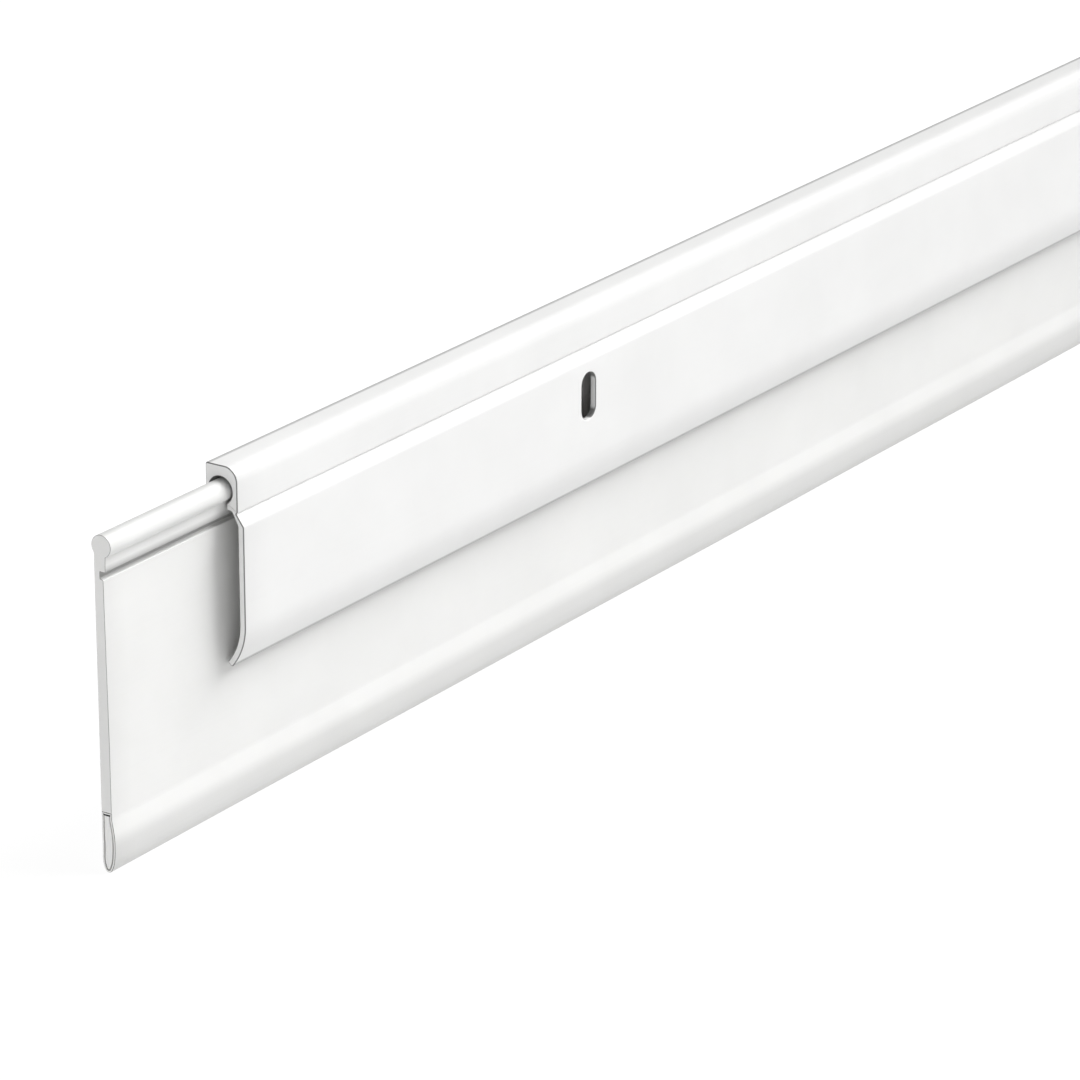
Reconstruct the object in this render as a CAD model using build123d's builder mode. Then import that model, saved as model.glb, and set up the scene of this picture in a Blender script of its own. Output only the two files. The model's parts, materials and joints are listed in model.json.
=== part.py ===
from build123d import *

import os
from math import atan2, cos, degrees, radians, sin, sqrt

# A door sweep: a rigid white rail that is screwed to the face of a door, and a vinyl insert whose
# round bead slides in a channel along the rail's top. The insert's web hangs down behind the rail's
# cover plate, and its fin and soft wiper lip close the gap under the door.
#
# +X runs along the sweep, +Y points into the door and +Z is up. The origin is the middle of the flat
# back face that rests on the door. A section is drawn with two distances: depth, how far a point
# stands out from the door, and drop, how far it is below the top of the rail.

INCH = 25.4

# Rail
rail_length = 36 * INCH
rail_height = 38.0
wall = 1.3
back_leg_wall = 0.8
back_leg_height = 12.0
channel_front = 6.9
plate_front = 8.2
shoulder_radius = 2.8
groove_top = 8.2
groove_depth = 0.3
step_top = 8.6
step_bottom = 10.8
step_radius = 0.9
hook_drop = 8.3
hook_tip = 4.5
edge_radius = 0.35
curl_start = 29.5
curl_tip = 5.0

# Screw slots in the cover plate
slot_width = 4.8
slot_height = 9.6
slot_drop = 17.8
slot_end_distance = 110.0
slot_count = 4

# Insert: bead, web and fin
insert_length = rail_length
insert_overhang = 34.0
bead_radius = 2.1
bead_clearance = 0.45
bead_depth = 3.25
bead_drop = 4.7
neck_angle = 65
neck_front = 4.05
neck_drop = 9.4
neck_radius = 0.2
web_back = 1.65
web_thickness = 1.9
waist_thickness = 1.2
waist_bottom = 10.7
waist_slope_bottom = 10.9
fin_thickness = 2.2
fin_flex_drop = 40.8
flex_gap = 0.05

# Insert: wiper lip
lip_flex_drop = 55.8
lip_belly_depth = 4.45
lip_belly_drop = 60.4
lip_heel_depth = 1.65
lip_heel_drop = 60.4
tip_depth = 2.85
tip_radius = 0.85
tip_drop = 66.0

# Worked out from the above
rail_top = back_leg_height / 2
rail_start = -rail_length / 2
insert_start = rail_start - insert_overhang
bore_radius = bead_radius + bead_clearance
hook_rise = sqrt(bore_radius**2 - (hook_tip - bead_depth) ** 2)
web_front = web_back + web_thickness
waist_front = web_back + waist_thickness
fin_front = web_back + fin_thickness
fin_middle = web_back + fin_thickness / 2
flex_radius = fin_thickness / 2
socket_radius = flex_radius + flex_gap
slot_spacing = (rail_length - 2 * slot_end_distance) / (slot_count - 1)

# The plate's lower edge curls back on an arc that starts straight down and ends at the curl's tip.
curl_reach = plate_front - curl_tip
curl_fall = rail_height - curl_start
curl_radius = (curl_reach**2 + curl_fall**2) / (2 * curl_reach)
curl_centre = plate_front - curl_radius
curl_angle = degrees(atan2(curl_fall, curl_tip - curl_centre))


def at(depth, drop):
    """A point of a section, as a place in a sketch on Plane.YZ."""
    return (-depth, rail_top - drop)


def around(depth, drop, radius, angle):
    """A point on a circle, at an angle below straight ahead."""
    return at(depth + radius * cos(radians(angle)), drop + radius * sin(radians(angle)))


def at_slope(angle):
    """The direction of a section's line, at an angle below straight ahead."""
    return (-cos(radians(angle)), -sin(radians(angle)))


def corners_at(sketch, *places):
    """The corners of a section that are nearest to the given places."""
    return [sketch.vertices().sort_by_distance(Vertex(*place, 0))[0] for place in places]


with BuildPart() as carrier_rail:
    with BuildSketch(Plane.YZ.offset(rail_start)) as rail_section:
        with BuildLine():
            outside = Polyline(
                at(0, back_leg_height),
                at(0, 0),
                at(channel_front, 0),
                at(channel_front, groove_top),
                at(channel_front - groove_depth, step_top),
                at(plate_front, step_bottom),
                at(plate_front, curl_start),
            )
            curl_outside = ThreePointArc(
                outside @ 1,
                around(curl_centre, curl_start, curl_radius, curl_angle / 2),
                at(curl_tip, rail_height),
            )
            curl_inside = ThreePointArc(
                around(curl_centre, curl_start, curl_radius - wall, curl_angle),
                around(curl_centre, curl_start, curl_radius - wall, curl_angle / 2),
                at(plate_front - wall, curl_start),
            )
            Line(curl_outside @ 1, curl_inside @ 0)
            inside = Polyline(
                curl_inside @ 1,
                at(plate_front - wall, step_bottom),
                at(channel_front - wall, hook_drop),
                at(hook_tip, hook_drop),
                at(hook_tip, bead_drop + hook_rise),
            )
            bore = ThreePointArc(
                inside @ 1,
                at(bead_depth, bead_drop - bore_radius),
                at(bead_depth - bore_radius, bead_drop),
            )
            Polyline(bore @ 1, at(back_leg_wall, back_leg_height), outside @ 0)
        make_face()
        fillet(corners_at(rail_section, at(channel_front, 0)), shoulder_radius)
        fillet(corners_at(rail_section, at(plate_front, step_bottom)), step_radius)
        edge_corners = corners_at(
            rail_section, at(0, 0), at(0, back_leg_height), at(back_leg_wall, back_leg_height)
        )
        fillet(edge_corners, edge_radius)
    extrude(amount=rail_length)
    with BuildSketch(Plane.XZ.offset(plate_front)):
        with Locations((0, rail_top - slot_drop)):
            with GridLocations(slot_spacing, 0, slot_count, 1):
                SlotOverall(slot_height, slot_width, rotation=90)
    extrude(amount=-2 * wall, mode=Mode.SUBTRACT)

# The insert's bead, with the thick neck that joins it to the web.
neck_back_rise = sqrt(bead_radius**2 - (bead_depth - web_back) ** 2)
with BuildPart() as insert_bead:
    with BuildSketch(Plane.YZ.offset(insert_start)) as bead_section:
        with BuildLine():
            round_bead = ThreePointArc(
                at(web_back, bead_drop + neck_back_rise),
                at(bead_depth, bead_drop - bead_radius),
                around(bead_depth, bead_drop, bead_radius, neck_angle),
            )
            Polyline(round_bead @ 1, at(neck_front, neck_drop), at(web_back, neck_drop), round_bead @ 0)
        make_face()
        fillet(corners_at(bead_section, at(neck_front, neck_drop)), neck_radius)
    extrude(amount=insert_length)

# The web has a thin waist under the neck and thickens towards the fin. Where the vinyl flexes, the
# upper region ends in a shallow round socket and the lower one in a full round that turns in it.
socket_rise = sqrt(socket_radius**2 - flex_radius**2)
with BuildPart() as upper_web:
    with BuildSketch(Plane.YZ.offset(insert_start)):
        with BuildLine():
            socket = ThreePointArc(
                at(fin_front, fin_flex_drop - socket_rise),
                at(fin_middle, fin_flex_drop - socket_radius),
                at(web_back, fin_flex_drop - socket_rise),
            )
            Polyline(
                socket @ 1,
                at(web_back, neck_drop),
                at(waist_front, neck_drop),
                at(waist_front, waist_bottom),
                at(web_front, waist_slope_bottom),
                socket @ 0,
            )
        make_face()
    extrude(amount=insert_length)

# The fin's lower socket is cut back at its rims, because the lip below it bends further.
rim = socket_radius * sin(radians(45))
with BuildPart() as lower_fin:
    with BuildSketch(Plane.YZ.offset(insert_start)):
        with BuildLine():
            fin_head = ThreePointArc(
                at(web_back, fin_flex_drop),
                at(fin_middle, fin_flex_drop - flex_radius),
                at(fin_front, fin_flex_drop),
            )
            lip_socket = ThreePointArc(
                at(fin_middle + rim, lip_flex_drop - rim),
                at(fin_middle, lip_flex_drop - socket_radius),
                at(fin_middle - rim, lip_flex_drop - rim),
            )
            Polyline(fin_head @ 1, at(fin_front, lip_flex_drop - 2 * rim), lip_socket @ 0)
            Polyline(lip_socket @ 1, at(web_back, lip_flex_drop - 2 * rim), fin_head @ 0)
        make_face()
    extrude(amount=insert_length)

with BuildPart() as wiper_lip:
    with BuildSketch(Plane.YZ.offset(insert_start)):
        with BuildLine():
            lip_head = ThreePointArc(
                at(web_back, lip_flex_drop),
                at(fin_middle, lip_flex_drop - flex_radius),
                at(fin_front, lip_flex_drop),
            )
            tip = ThreePointArc(
                around(tip_depth, tip_drop - tip_radius, tip_radius, 30),
                at(tip_depth, tip_drop),
                around(tip_depth, tip_drop - tip_radius, tip_radius, 150),
            )
            Spline(
                lip_head @ 1,
                at(lip_belly_depth, lip_belly_drop),
                tip @ 0,
                tangents=(at_slope(80), at_slope(120)),
            )
            Spline(
                tip @ 1,
                at(lip_heel_depth, lip_heel_drop),
                lip_head @ 0,
                tangents=(at_slope(240), at_slope(270)),
            )
        make_face()
    extrude(amount=insert_length)

carrier_rail.part.label = "carrier_rail"
insert_bead.part.label = "insert_bead"
upper_web.part.label = "upper_web"
lower_fin.part.label = "lower_fin"
wiper_lip.part.label = "wiper_lip"

os.makedirs("parts", exist_ok=True)
export_step(carrier_rail.part, "parts/carrier_rail.step")
export_step(insert_bead.part, "parts/insert_bead.step")
export_step(upper_web.part, "parts/upper_web.step")
export_step(lower_fin.part, "parts/lower_fin.step")
export_step(wiper_lip.part, "parts/wiper_lip.step")
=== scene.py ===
import json
from math import atan2, ceil, cos, degrees, hypot, pi, radians, sin, sqrt, tan

import bmesh
import bpy
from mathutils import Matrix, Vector, noise


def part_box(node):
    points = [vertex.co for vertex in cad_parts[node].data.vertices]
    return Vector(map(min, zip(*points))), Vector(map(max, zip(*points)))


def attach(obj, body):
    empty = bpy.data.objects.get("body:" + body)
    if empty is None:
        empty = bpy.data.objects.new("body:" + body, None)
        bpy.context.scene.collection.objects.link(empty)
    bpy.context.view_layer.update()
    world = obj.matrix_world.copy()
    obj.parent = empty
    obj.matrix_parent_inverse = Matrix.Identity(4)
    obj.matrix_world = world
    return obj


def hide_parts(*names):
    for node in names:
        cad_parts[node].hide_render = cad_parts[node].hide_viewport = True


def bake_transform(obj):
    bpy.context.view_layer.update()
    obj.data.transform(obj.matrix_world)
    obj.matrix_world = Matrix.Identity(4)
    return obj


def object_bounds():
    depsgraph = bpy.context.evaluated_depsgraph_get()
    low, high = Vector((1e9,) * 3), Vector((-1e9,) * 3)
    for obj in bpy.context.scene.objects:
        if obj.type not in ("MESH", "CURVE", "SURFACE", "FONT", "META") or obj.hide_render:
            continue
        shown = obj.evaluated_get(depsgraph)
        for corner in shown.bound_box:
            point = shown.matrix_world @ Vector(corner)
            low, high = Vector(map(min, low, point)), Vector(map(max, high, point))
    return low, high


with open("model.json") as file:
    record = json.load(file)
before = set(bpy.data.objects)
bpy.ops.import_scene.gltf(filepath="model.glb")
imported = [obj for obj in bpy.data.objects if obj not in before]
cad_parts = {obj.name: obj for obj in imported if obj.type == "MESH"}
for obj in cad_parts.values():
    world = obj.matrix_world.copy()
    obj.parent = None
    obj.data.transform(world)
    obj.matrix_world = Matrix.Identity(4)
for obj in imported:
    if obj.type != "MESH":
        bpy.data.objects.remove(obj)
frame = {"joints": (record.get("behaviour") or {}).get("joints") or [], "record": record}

# A white door sweep: a rigid rail with screw slots, and a vinyl insert whose bead slides in the
# rail's channel, with a fin that hangs below the rail and a soft wiper lip along its bottom edge.
#
# Sections are drawn in millimetres with two distances: depth, how far a point stands out from the
# door's face, and drop, how far it is below the top of the rail.

MM = 0.001

cad_box = [list(corner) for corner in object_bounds()]
rail_low, rail_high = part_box("carrier_rail")
bead_low, bead_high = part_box("insert_bead")
web_low, web_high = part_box("upper_web")
lip_low, lip_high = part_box("wiper_lip")
joints = {joint["name"]: joint for joint in frame["joints"]}
slots = next(mount for mount in frame["record"]["mounts"] if mount["name"] == "screw_slots")


def drop_of(z):
    """How far below the rail's top a height is, in millimetres."""
    return (rail_high.z - z) / MM


# Sizes read from the frame, in millimetres
rail_height = drop_of(rail_low.z)
plate_front = -rail_low.y / MM
web_back = -web_high.y / MM
fin_front = -web_low.y / MM
bead_radius = (bead_high.y - bead_low.y) / MM / 2
bead_depth = -(bead_low.y + bead_high.y) / MM / 2
bead_drop = drop_of(bead_high.z) + bead_radius
tip_drop = drop_of(lip_low.z)
fin_flex_drop = drop_of(joints["fin_flex"]["pos_m"][2])
lip_flex_drop = drop_of(joints["lip_flex"]["pos_m"][2])
slot_drop = drop_of(slots["pos_m"][2])
slot_width = 2 * slots["dims"]["hole_r_mm"]
slot_height = slots["dims"]["slot_length_mm"]
slot_spacing = slots["dims"]["spacing_x_mm"]
slot_count = slots["dims"]["count"]

# The rail's section
wall = 1.3
leg_wall = 0.8
leg_height = 12.0
channel_front = 6.9
bore_clearance = 0.45
groove_top = 8.2
groove_depth = 0.3
step_top = 8.6
step_bottom = 10.8
hook_drop = 8.3
hook_tip = 4.5
curl_start = 29.5
curl_tip = 5.0
edge_radius = 0.35
shoulder_radius = 2.8
crease_radius = 0.12
step_radius = 0.9
curl_tip_radius = 0.3
inner_step_radius = 0.6
hook_heel_radius = 0.5
hook_radius = 0.35
hook_tip_radius = 0.15

# The insert's section
neck_angle = 65
neck_front = 4.05
neck_drop = 9.4
web_front = web_back + 1.9
waist_front = web_back + 1.2
waist_bottom = 10.7
waist_slope_bottom = 10.9
neck_radius = 0.2
waist_radius = 0.1
web_radius = 0.2
lip_seam_drop = lip_flex_drop - 1.2
lip_belly = (4.45, 60.4)
lip_heel = (1.65, 60.4)
tip_depth = 2.85
tip_radius = 0.85

# How finely the bars are drawn along the sweep, and how far their cut ends are rounded
rail_step = 8
vinyl_step = 6
slot_step = 1
rail_end_radius = 0.22
insert_end_radius = 0.1
lip_end_radius = 0.12

# A screw slot's softened rim, the rings round it on the plate, and half the patch that is redrawn
slot_rim = 0.22
slot_rings = (1.1, 0.45)
slot_patch = (7, 9.5)

# The groove in the lip's cut ends, as insets of (width, depth) from the edge inwards
lip_end_groove = [(0.2, 0), (0.1, -0.45), (0.14, 0), (0.08, 0.42)]

# The hanging vinyl's waviness, which starts at a drop and grows over a hang. Wander and ripple are
# how far it goes in millimetres, and their rates are per metre along the sweep.
wave_start_drop = 14
wave_hang = 50
wander = 0.22
wander_rate = 7
ripple = 0.05
ripple_rate = 60


# ---------------------------------------------------------------- outlines

def on_circle(centre, radius, angle):
    """A point on a circle, at an angle in degrees below straight ahead."""
    return (centre[0] + radius * cos(radians(angle)), centre[1] + radius * sin(radians(angle)))


def arc(centre, radius, start, end, count):
    """Points on an arc from one angle to another."""
    angles = [start + (end - start) * i / count for i in range(count + 1)]
    return [on_circle(centre, radius, angle) for angle in angles]


def unrounded(points):
    """Points as corners that rounded leaves as they are."""
    return [(*point, 0) for point in points]


def rounded(corners):
    """An outline through corners of (depth, drop, radius), each rounded to its radius."""
    points = []
    for i, (x, y, radius) in enumerate(corners):
        before = corners[i - 1]
        after = corners[(i + 1) % len(corners)]
        if radius == 0:
            points.append((x, y))
            continue
        corner = Vector((x, y))
        u = (Vector(before[:2]) - corner).normalized()
        v = (Vector(after[:2]) - corner).normalized()
        half = u.angle(v) / 2
        centre = corner + (u + v).normalized() * radius / sin(half)
        start = corner + u * radius / tan(half) - centre
        end = corner + v * radius / tan(half) - centre
        turn = start.angle(end)
        count = max(3, ceil(turn / radians(9)))
        for k in range(count + 1):
            t = k / count
            ray = (start * sin((1 - t) * turn) + end * sin(t * turn)) / sin(turn)
            points.append(tuple(centre + ray))
    return points


def divided(points, step):
    """The closed outline with its long straight runs divided evenly."""
    out = []
    for a, b in zip(points, points[1:] + points[:1]):
        length = hypot(b[0] - a[0], b[1] - a[1])
        if length < 1e-6:
            continue
        count = max(1, round(length / step))
        for k in range(count):
            t = k / count
            out.append((a[0] + (b[0] - a[0]) * t, a[1] + (b[1] - a[1]) * t))
    return out


def smooth_curve(points, start_way, end_way, count):
    """A Hermite curve through points, leaving and arriving along the given ways."""
    ways = [Vector(start_way).normalized()]
    for before, after in zip(points, points[2:]):
        ways.append((Vector(after) - Vector(before)).normalized())
    ways.append(Vector(end_way).normalized())
    out = []
    for (a, wa), (b, wb) in zip(zip(points, ways), zip(points[1:], ways[1:])):
        a, b = Vector(a), Vector(b)
        reach = (b - a).length
        for k in range(count):
            t = k / count
            out.append(tuple(
                a * (2 * t**3 - 3 * t**2 + 1)
                + wa * reach * (t**3 - 2 * t**2 + t)
                + b * (3 * t**2 - 2 * t**3)
                + wb * reach * (t**3 - t**2)
            ))
    return out


def normals(outline):
    """The way out of a closed outline at each of its points."""
    area = sum(a[0] * b[1] - b[0] * a[1] for a, b in zip(outline, outline[1:] + outline[:1]))
    sign = 1 if area > 0 else -1
    out = []
    for i, point in enumerate(outline):
        before, after = outline[i - 1], outline[(i + 1) % len(outline)]
        along = Vector((after[0] - before[0], after[1] - before[1])).normalized()
        out.append((along.y * sign, -along.x * sign))
    return out


def place(x, depth, drop):
    """A section's point at a place along the sweep, in the row frame in metres."""
    return Vector((x, -depth * MM, rail_high.z - drop * MM))


def rail_outline():
    """The rail, from its back leg over the channel and down the plate, and back up inside."""
    # the curl's arcs leave out their first degree, where the plate's straight run ends
    reach = plate_front - curl_tip
    fall = rail_height - curl_start
    radius = (reach**2 + fall**2) / (2 * reach)
    centre = (plate_front - radius, curl_start)
    turn = degrees(atan2(fall, curl_tip - centre[0]))
    curl_outside = arc(centre, radius, 1, turn, 16)
    curl_inside = arc(centre, radius - wall, turn, 1, 16)
    # the bore's arc leaves out 6 degrees, where the hook's tip is rounded
    bore = bead_radius + bore_clearance
    hook_ahead = hook_tip - bead_depth
    hook_angle = degrees(atan2(sqrt(bore**2 - hook_ahead**2), hook_ahead))
    around_bead = arc((bead_depth, bead_drop), bore, hook_angle - 6, -180, 44)
    corners = [
        (0, leg_height, edge_radius),
        (0, 0, edge_radius),
        (channel_front, 0, shoulder_radius),
        (channel_front, groove_top, crease_radius),
        (channel_front - groove_depth, step_top, crease_radius),
        (plate_front, step_bottom, step_radius),
        (plate_front, curl_start, 0),
    ]
    corners += unrounded(curl_outside[:-1])
    corners += [(*curl_outside[-1], curl_tip_radius), (*curl_inside[0], curl_tip_radius)]
    corners += unrounded(curl_inside[1:])
    corners += [
        (plate_front - wall, curl_start, 0),
        (plate_front - wall, step_bottom, inner_step_radius),
        (channel_front - wall, hook_drop, hook_heel_radius),
        (hook_tip, hook_drop, hook_radius),
        (hook_tip, bead_drop + bore * sin(radians(hook_angle)), hook_tip_radius),
    ]
    corners += unrounded(around_bead)
    corners += [(leg_wall, leg_height, edge_radius)]
    return divided(rounded(corners), 1.0)


def insert_outline():
    """The bead, its neck, the web and the fin, down to the seam with the lip."""
    back = bead_depth - web_back
    back_turn = 180 - degrees(atan2(sqrt(bead_radius**2 - back**2), back))
    bead = arc((bead_depth, bead_drop), bead_radius, back_turn - 360, neck_angle, 48)
    corners = [(web_back, bead[0][1] + 1.2, 0)]
    corners += unrounded(bead)
    corners += [
        (neck_front, neck_drop, neck_radius),
        (waist_front, neck_drop, waist_radius),
        (waist_front, waist_bottom, waist_radius),
        (web_front, waist_slope_bottom, web_radius),
        (fin_front, fin_flex_drop, 0),
        (fin_front, lip_seam_drop, 0),
        (web_back, lip_seam_drop, 0),
    ]
    return divided(rounded(corners), 0.9)


def lip_outline():
    """The soft lip, from its seam with the fin down to its round tip."""
    tip = arc((tip_depth, tip_drop - tip_radius), tip_radius, 30, 150, 12)
    front = smooth_curve(
        [(fin_front, lip_flex_drop), lip_belly, tip[0]], (0.17, 0.98), (-0.5, 0.87), 14
    )
    back = smooth_curve(
        [tip[-1], lip_heel, (web_back, lip_flex_drop)], (-0.5, -0.87), (0, -1), 14
    )
    outline = [(web_back, lip_seam_drop), (fin_front, lip_seam_drop)]
    outline += front + tip + back[1:] + [(web_back, lip_flex_drop)]
    return divided(outline, 0.5)


# ---------------------------------------------------------------- meshes

def stations(start, end, step, edge, dense=()):
    """Places along the sweep, with how far the section is drawn in there to round the cut ends.
    They are a step apart, or finer in the dense spans."""
    turns = (0, pi / 6, pi / 3, pi / 2)
    rim = [(edge * (1 - cos(a)), edge * (1 - sin(a))) for a in turns]
    first = [(start + offset * MM, shrink) for offset, shrink in rim]
    last = [(end - offset * MM, shrink) for offset, shrink in reversed(rim)]
    low, high = first[-1][0], last[0][0]
    marks = sorted([low, high] + [x for span in dense for x in span])
    middle = []
    for a, b in zip(marks, marks[1:]):
        fine = any(span[0] - 1e-9 <= a and b <= span[1] + 1e-9 for span in dense)
        count = max(1, round((b - a) / ((slot_step if fine else step) * MM)))
        middle += [a + (b - a) * k / count for k in range(count)]
    return first + [(x, 0) for x in middle[1:]] + last


def extruded(outline, places, wave=None):
    """A closed bar with that section; wave moves a point sideways along the bar."""
    bm = bmesh.new()
    ways = normals(outline)
    rings = []
    for x, shrink in places:
        ring = []
        for (depth, drop), (nd, nh) in zip(outline, ways):
            shift = wave(x, drop) if wave else 0
            ring.append(bm.verts.new(place(x, depth - nd * shrink + shift, drop - nh * shrink)))
        rings.append(ring)
    for a, b in zip(rings, rings[1:]):
        for i in range(len(a)):
            bm.faces.new((a[i - 1], a[i], b[i], b[i - 1]))
    caps = [bm.faces.new(rings[0]), bm.faces.new(list(reversed(rings[-1])))]
    return bm, caps


def finished(bm, name, caps, sharp=40):
    """The object for a mesh, smooth except at its cut ends and its sharp edges."""
    bmesh.ops.recalc_face_normals(bm, faces=bm.faces)
    for face in bm.faces:
        face.smooth = True
    for edge in bm.edges:
        edge.smooth = edge.calc_face_angle(0) < radians(sharp)
    for cap in caps:
        cap.smooth = False
        for edge in cap.edges:
            edge.smooth = False
    mesh = bpy.data.meshes.new(name)
    bm.to_mesh(mesh)
    bm.free()
    piece = bpy.data.objects.new(name, mesh)
    bpy.context.scene.collection.objects.link(piece)
    return piece


def slot_ray(way, grow):
    """Where a ray from a slot's middle crosses its outline, drawn larger by grow."""
    radius = slot_width / 2 + grow
    straight = slot_height / 2 - slot_width / 2
    dx, dz = abs(way.x), abs(way.y)
    reach = radius / dx if dx > 1e-9 else 1e9
    if reach * dz > straight:
        # the ray meets the round end: a circle centred at the straight part's end
        b = dz * straight
        reach = b + sqrt(max(0, b * b - straight**2 + radius**2))
    return way * reach


def cut_slot(bm, x, faces_depths):
    """Opens one screw slot in the cover plate, with softened rims."""
    half_x, half_z = slot_patch
    loops = []
    for depth in faces_depths:
        patch = [
            f for f in bm.faces
            if all(
                abs(v.co.x - x) < (half_x + 0.01) * MM
                and abs(drop_of(v.co.z) - slot_drop) < half_z
                and abs(-v.co.y / MM - depth) < 0.01
                for v in f.verts
            )
        ]
        inside = set(patch)
        border = [
            e for f in patch for e in f.edges if sum(g in inside for g in e.link_faces) == 1
        ]
        rim_verts = list({v for e in border for v in e.verts})
        bmesh.ops.delete(bm, geom=patch, context="FACES")
        rim_verts.sort(key=lambda v: atan2(drop_of(v.co.z) - slot_drop, (v.co.x - x) / MM))
        loops.append(rim_verts)
    front, back = faces_depths
    turns = (pi / 6, pi / 3, pi / 2)
    rim = [(slot_rim * (1 - cos(a)), slot_rim * (1 - sin(a))) for a in turns]
    flat = [*slot_rings, slot_rim]
    steps = [(front, grow) for grow in flat]
    steps += [(front - sink, grow) for sink, grow in rim]
    steps += [(front - (front - back) / 2, 0)]
    steps += [(back + sink, grow) for sink, grow in reversed(rim)]
    steps += [(back, grow) for grow in reversed(flat)]
    rings = [loops[0]]
    for depth, grow in steps:
        ring = []
        for v in loops[0]:
            way = Vector(((v.co.x - x) / MM, drop_of(v.co.z) - slot_drop)).normalized()
            point = slot_ray(way, grow)
            ring.append(bm.verts.new(place(x + point.x * MM, depth, slot_drop + point.y)))
        rings.append(ring)
    rings.append(loops[1])
    for a, b in zip(rings, rings[1:]):
        for i in range(len(a)):
            bm.faces.new((a[i - 1], a[i], b[i], b[i - 1]))


def build_rail():
    """The rail, with its screw slots spread evenly about its middle."""
    middle_x = (rail_low.x + rail_high.x) / 2
    first = middle_x - slot_spacing * MM * (slot_count - 1) / 2
    slot_places = [first + i * slot_spacing * MM for i in range(slot_count)]
    dense = [(x - slot_patch[0] * MM, x + slot_patch[0] * MM) for x in slot_places]
    places = stations(rail_low.x, rail_high.x, rail_step, rail_end_radius, dense)
    bm, caps = extruded(rail_outline(), places)
    for x in slot_places:
        cut_slot(bm, x, (plate_front, plate_front - wall))
    return finished(bm, "rail", caps)


def fin_wave(x, drop):
    """The vinyl isn't quite flat: it wanders a little where the rail doesn't hold it."""
    hang = max(0, drop - wave_start_drop) / wave_hang
    wandering = wander * hang * noise.noise(Vector((x * wander_rate, 0.4, 0)))
    return wandering + ripple * hang * sin(x * ripple_rate)


def build_insert():
    """The bead, web and fin, as one skin."""
    places = stations(web_low.x, web_high.x, vinyl_step, insert_end_radius)
    bm, caps = extruded(insert_outline(), places, fin_wave)
    return finished(bm, "vinyl_insert", caps)


def build_lip():
    """The soft lip, with a fine groove in its cut ends where its core meets its skin."""
    places = stations(lip_low.x, lip_high.x, vinyl_step, lip_end_radius)
    bm, caps = extruded(lip_outline(), places, fin_wave)
    bmesh.ops.recalc_face_normals(bm, faces=bm.faces)
    for cap in caps:
        for width, depth in lip_end_groove:
            bmesh.ops.inset_individual(bm, faces=[cap], thickness=width * MM, depth=depth * MM)
    return finished(bm, "lip", caps)


# ---------------------------------------------------------------- materials

def node_graph(name, colour, roughness):
    """A new material of one colour, with its nodes, its links and its shader."""
    material = bpy.data.materials.new(name)
    material.use_nodes = True
    nodes, links = material.node_tree.nodes, material.node_tree.links
    shader = nodes["Principled BSDF"]
    shader.inputs["Base Color"].default_value = (*colour, 1)
    shader.inputs["Roughness"].default_value = roughness
    return material, nodes, links, shader


def stretched_noise(nodes, links, scale, detail=4, squeeze=(1, 1, 1)):
    """Noise in the row frame, stretched along the sweep where squeeze.x is small."""
    coords = nodes.new("ShaderNodeTexCoord")
    mapping = nodes.new("ShaderNodeMapping")
    mapping.inputs["Scale"].default_value = squeeze
    texture = nodes.new("ShaderNodeTexNoise")
    texture.inputs["Scale"].default_value = scale
    texture.inputs["Detail"].default_value = detail
    links.new(coords.outputs["Object"], mapping.inputs["Vector"])
    links.new(mapping.outputs["Vector"], texture.inputs["Vector"])
    return texture.outputs["Fac"]


def ramp(nodes, links, source, stops):
    """The source as a colour, by stops of (position, colour)."""
    node = nodes.new("ShaderNodeValToRGB")
    elements = node.color_ramp.elements
    for element, (position, colour) in zip(elements, stops):
        element.position = position
        element.color = (*colour, 1)
    for position, colour in stops[2:]:
        elements.new(position).color = (*colour, 1)
    links.new(source, node.inputs["Fac"])
    return node.outputs["Color"]


def bump(nodes, links, shader, layers):
    """Height layers, each (source, strength, distance), one on another."""
    below = None
    for source, strength, distance in layers:
        node = nodes.new("ShaderNodeBump")
        node.inputs["Strength"].default_value = strength
        node.inputs["Distance"].default_value = distance
        links.new(source, node.inputs["Height"])
        if below:
            links.new(below, node.inputs["Normal"])
        below = node.outputs["Normal"]
    links.new(below, shader.inputs["Normal"])


def coordinate(nodes, links, kind, axis):
    """One axis of a texture coordinate: Object is the place, and Normal the way it faces."""
    coords = nodes.new("ShaderNodeTexCoord")
    parts = nodes.new("ShaderNodeSeparateXYZ")
    links.new(coords.outputs[kind], parts.inputs["Vector"])
    return parts.outputs[axis]


def end_facing(nodes, links):
    """0 on the sweep's sides, 1 on its cut ends, and between them on the ends' rounded rims."""
    size = nodes.new("ShaderNodeMath")
    size.operation = "ABSOLUTE"
    links.new(coordinate(nodes, links, "Normal", "X"), size.inputs[0])
    return size.outputs["Value"]


def multiplied(nodes, links, first, second):
    """Two colours or masks, multiplied."""
    node = nodes.new("ShaderNodeVectorMath")
    node.operation = "MULTIPLY"
    links.new(first, node.inputs[0])
    links.new(second, node.inputs[1])
    return node.outputs["Vector"]


def map_range(nodes, links, source, start, end, low=0, high=1):
    """The source, taken from start..end to low..high."""
    node = nodes.new("ShaderNodeMapRange")
    node.inputs["From Min"].default_value = start
    node.inputs["From Max"].default_value = end
    node.inputs["To Min"].default_value = low
    node.inputs["To Max"].default_value = high
    links.new(source, node.inputs["Value"])
    return node.outputs["Result"]


def zone(nodes, links, source, marks):
    """1 between the middle two of four marks, falling to 0 at the outer two."""
    rise = map_range(nodes, links, source, marks[0], marks[1])
    fall = map_range(nodes, links, source, marks[3], marks[2])
    return multiplied(nodes, links, rise, fall)


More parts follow.
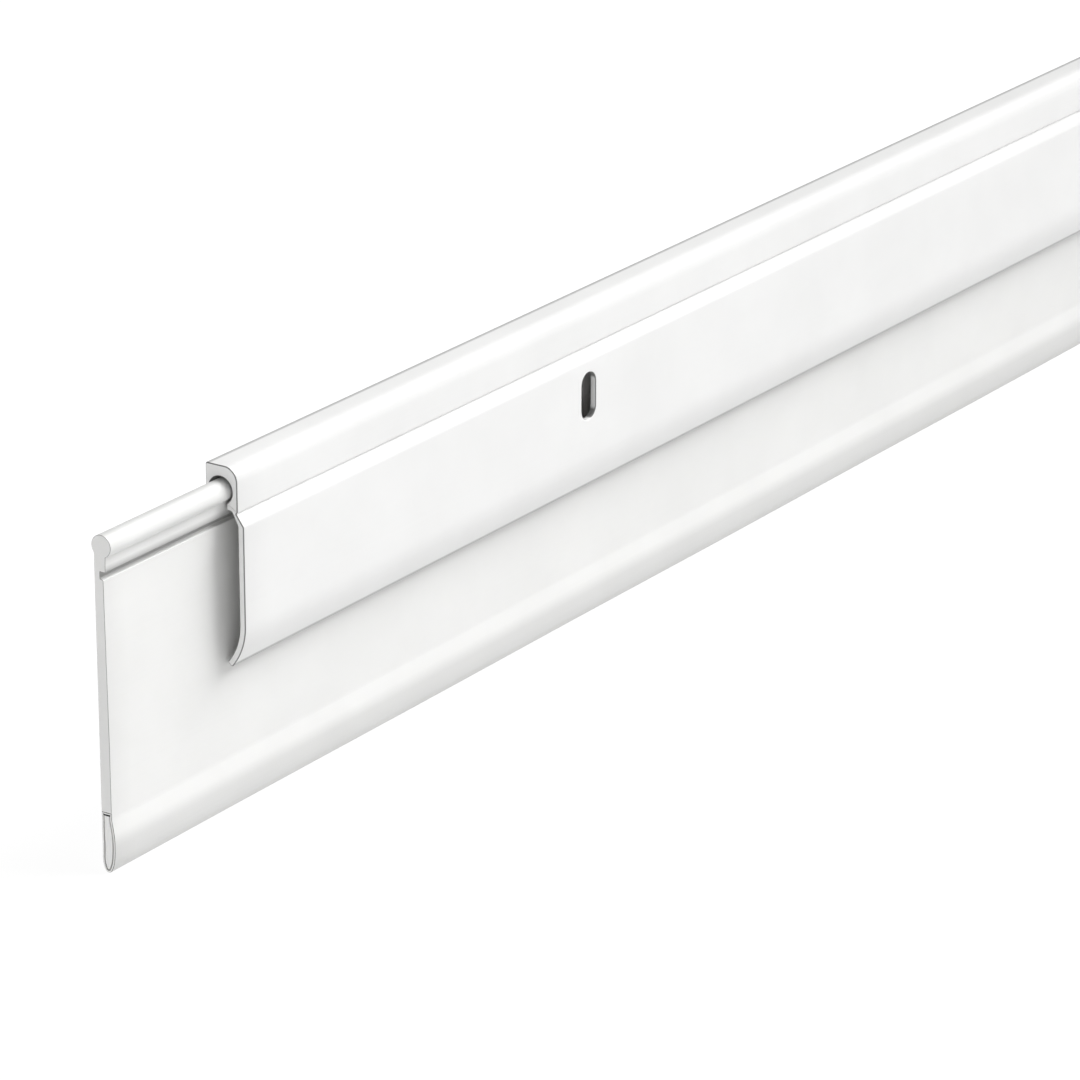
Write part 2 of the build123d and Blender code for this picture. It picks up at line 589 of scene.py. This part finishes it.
def band_shade(nodes, links, band):
    """1 on open surfaces, and darker in a band along the sweep's sides. It stands in for a thin
    dark line of the photo that the lights alone don't give. The band is its darkest tone, and its
    four marks of drop and of depth."""
    darkest, drops, depths = band
    z = coordinate(nodes, links, "Object", "Z")
    y = coordinate(nodes, links, "Object", "Y")
    by_drop = zone(nodes, links, z, [place(0, 0, drop).z for drop in drops])
    by_depth = zone(nodes, links, y, [place(0, depth, 0).y for depth in depths])
    side = map_range(nodes, links, end_facing(nodes, links), 0.9, 0.2)
    amount = multiplied(nodes, links, multiplied(nodes, links, by_drop, by_depth), side)
    return map_range(nodes, links, amount, 0, 1, 1, darkest)


def extruded_plastic(name, light, dark, roughness, grain, rim, face, bands):
    """White plastic with die lines along the sweep, a faint mottle between light and dark, and a
    fine grain. Rim and face are painted tones on a cut end: shade painted on its rounded edge, and
    light painted on its flat."""
    material, nodes, links, shader = node_graph(name, light, roughness)
    lines = stretched_noise(nodes, links, 2600, 3, (0.004, 1, 1))
    broad = stretched_noise(nodes, links, 420, 2, (0.01, 1, 1))
    mottle = stretched_noise(nodes, links, 60, 5)
    fine = stretched_noise(nodes, links, grain, 2)
    body = ramp(nodes, links, mottle, [(0.3, dark), (0.7, light)])
    # painted shade on the cut ends' rounded edges, and painted light on their flats
    ends = ramp(nodes, links, end_facing(nodes, links), [
        (0.2, (1, 1, 1)), (0.4, (rim,) * 3), (0.9, (rim,) * 3), (0.98, (face,) * 3),
    ])
    colour = multiplied(nodes, links, body, ends)
    for band in bands:
        colour = multiplied(nodes, links, colour, band_shade(nodes, links, band))
    links.new(colour, shader.inputs["Base Color"])
    rough = map_range(nodes, links, lines, 0, 1, roughness - 0.07, roughness + 0.09)
    links.new(rough, shader.inputs["Roughness"])
    bump(nodes, links, shader, [
        (broad, 0.25, 0.0002), (lines, 0.2, 0.00006), (fine, 0.12, 0.00003),
    ])
    return material, shader


def set_depth(shader, specular, weight, radius):
    """How strongly the plastic shines, and how much light goes into it and how far."""
    shader.inputs["Specular IOR Level"].default_value = specular
    shader.inputs["Subsurface Weight"].default_value = weight
    shader.inputs["Subsurface Radius"].default_value = radius


# Marks for the shade bands: above the whole sweep, in front of it, and all of a section's front
above = (-2, -1)
beyond = (90, 91)
in_front = (web_back + 0.25, web_back + 0.75, *beyond)


def rigid_pvc():
    """The rail's plastic, with shade on its curled edge, its top edge and inside its channel."""
    edge_drops = (
        rail_height - 1.2, rail_height - 0.64, rail_height + 0.06, rail_height + 0.2,
    )
    curled_edge = (0.5, edge_drops, in_front)
    top_edge = (0.55, (*above, 0.4, 0.8), (0.02, 0.12, 0.6, 1.2))
    channel = (0.25, (1.6, 2, hook_drop - 0.3, hook_drop - 0.1), (0.5, 0.65, 5.9, 6.3))
    # rim and face paint shade on the cut ends' rounded edges and light on their flats
    material, shader = extruded_plastic(
        "rigid_pvc", light=(0.8, 0.8, 0.795), dark=(0.77, 0.77, 0.765), roughness=0.32,
        grain=5000, rim=0.25, face=1.15, bands=[curled_edge, top_edge, channel],
    )
    set_depth(shader, specular=0.5, weight=0.06, radius=(0.001, 0.001, 0.001))
    return material


def vinyl():
    """The insert's plastic, with shade in the groove under the neck and along the bead's top."""
    groove = (0.5, (neck_drop - 1.3, neck_drop, waist_bottom - 0.3, waist_bottom), in_front)
    bead_top = (0.72, (*above, 3.4, 4.6), (1.7, 2, 2.8, 4.4))
    # rim and face paint shade on the cut ends' rounded edges and light on their flats
    material, shader = extruded_plastic(
        "vinyl", light=(0.79, 0.79, 0.78), dark=(0.76, 0.76, 0.75), roughness=0.46,
        grain=3600, rim=0.45, face=1.08, bands=[groove, bead_top],
    )
    set_depth(shader, specular=0.42, weight=0.15, radius=(0.002, 0.002, 0.0018))
    return material


def soft_vinyl():
    """The lip's plastic, with shade on its lower half."""
    belly_drop = lip_belly[1]
    low = (0.86, (belly_drop - 2, belly_drop + 0.6, tip_drop + 1, tip_drop + 2), in_front)
    # rim and face paint shade on the cut ends' rounded edges and light on their flats
    material, shader = extruded_plastic(
        "soft_vinyl", light=(0.79, 0.79, 0.78), dark=(0.76, 0.76, 0.75), roughness=0.52,
        grain=3000, rim=0.3, face=1.18, bands=[low],
    )
    set_depth(shader, specular=0.4, weight=0.25, radius=(0.002, 0.002, 0.0018))
    return material


# ---------------------------------------------------------------- the piece on each body

rail = build_rail()
rail.data.materials.append(rigid_pvc())
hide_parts("carrier_rail")
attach(rail, "rail")

insert = build_insert()
insert.data.materials.append(vinyl())
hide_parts("insert_bead", "upper_web", "lower_fin")
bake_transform(insert)

lip = build_lip()
lip.data.materials.append(soft_vinyl())
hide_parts("wiper_lip")
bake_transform(lip)


# ---------------------------------------------------------------- floor, light and camera

def add_floor():
    """A wide floor at the sweep's lowest point, which glows so that it shows as plain white."""
    mesh = bpy.data.meshes.new("floor")
    reach = 40
    z = cad_box[0][2]
    corners = [(-reach, -reach, z), (reach, -reach, z), (reach, reach, z), (-reach, reach, z)]
    mesh.from_pydata(corners, [], [(0, 1, 2, 3)])
    floor = bpy.data.objects.new("floor", mesh)
    bpy.context.scene.collection.objects.link(floor)
    material, _, _, shader = node_graph("floor", (0.08, 0.08, 0.08), 0.9)
    shader.inputs["Emission Color"].default_value = (1, 1, 1, 1)
    shader.inputs["Emission Strength"].default_value = 0.93
    mesh.materials.append(material)


def add_light(name, where, aim, size, power, spread):
    """A square soft light at one place, aimed at another; spread is in degrees."""
    light = bpy.data.lights.new(name, "AREA")
    light.size = size
    light.energy = power
    light.spread = radians(spread)
    lamp = bpy.data.objects.new(name, light)
    bpy.context.scene.collection.objects.link(lamp)
    lamp.location = where
    lamp.rotation_euler = (where - aim).to_track_quat("Z", "Y").to_euler()


def direction(azimuth, elevation):
    """The way towards a viewer; azimuth 0 is straight in front, and 90 is beyond the right end."""
    a, e = radians(azimuth), radians(elevation)
    return Vector((sin(a) * cos(e), -cos(a) * cos(e), sin(e)))


# The camera, fitted to the photo: its lens, its distance, and its aim from the rail's near top end
camera_lens = 186.4
camera_distance = 1.0855
aim_along = 0.1054
aim_below = 0.0477


def add_camera():
    """The photo's view, of the sweep's near end."""
    camera = bpy.data.cameras.new("camera")
    camera.sensor_width = 36
    camera.lens = camera_lens
    camera.clip_end = 100
    view = bpy.data.objects.new("camera", camera)
    bpy.context.scene.collection.objects.link(view)
    aim = Vector((rail_low.x + aim_along, 0, rail_high.z - aim_below))
    away = direction(-55.9, 20.66)
    view.location = aim + away * camera_distance
    view.rotation_euler = away.to_track_quat("Z", "Y").to_euler()
    bpy.context.scene.camera = view


def set_world(strength):
    """A plain white world of that strength."""
    world = bpy.data.worlds.new("world")
    world.use_nodes = True
    background = world.node_tree.nodes["Background"]
    background.inputs["Color"].default_value = (1, 1, 1, 1)
    background.inputs["Strength"].default_value = strength
    bpy.context.scene.world = world


# the key and side lights are placed about the part of the sweep that the photo shows
centre = (Vector(cad_box[0]) + Vector(cad_box[1])) / 2
near_end = Vector((rail_low.x + 0.15, 0, centre.z))
add_floor()
set_world(0.2)
# the key light is aimed to the left of the sweep, so that it falls off towards the far end
key_place = near_end + direction(42, 54) * 3
side_place = near_end + direction(-95, 20) * 1.4
back_place = centre + direction(165, 14) * 2.2
add_light("key", key_place, near_end - Vector((2, 0, 0)), size=2, power=57, spread=96)
add_light("side", side_place, near_end, size=0.8, power=1.2, spread=120)
add_light("back", back_place, centre, size=1.2, power=16, spread=180)
add_camera()
bpy.context.scene.view_settings.view_transform = "Standard"
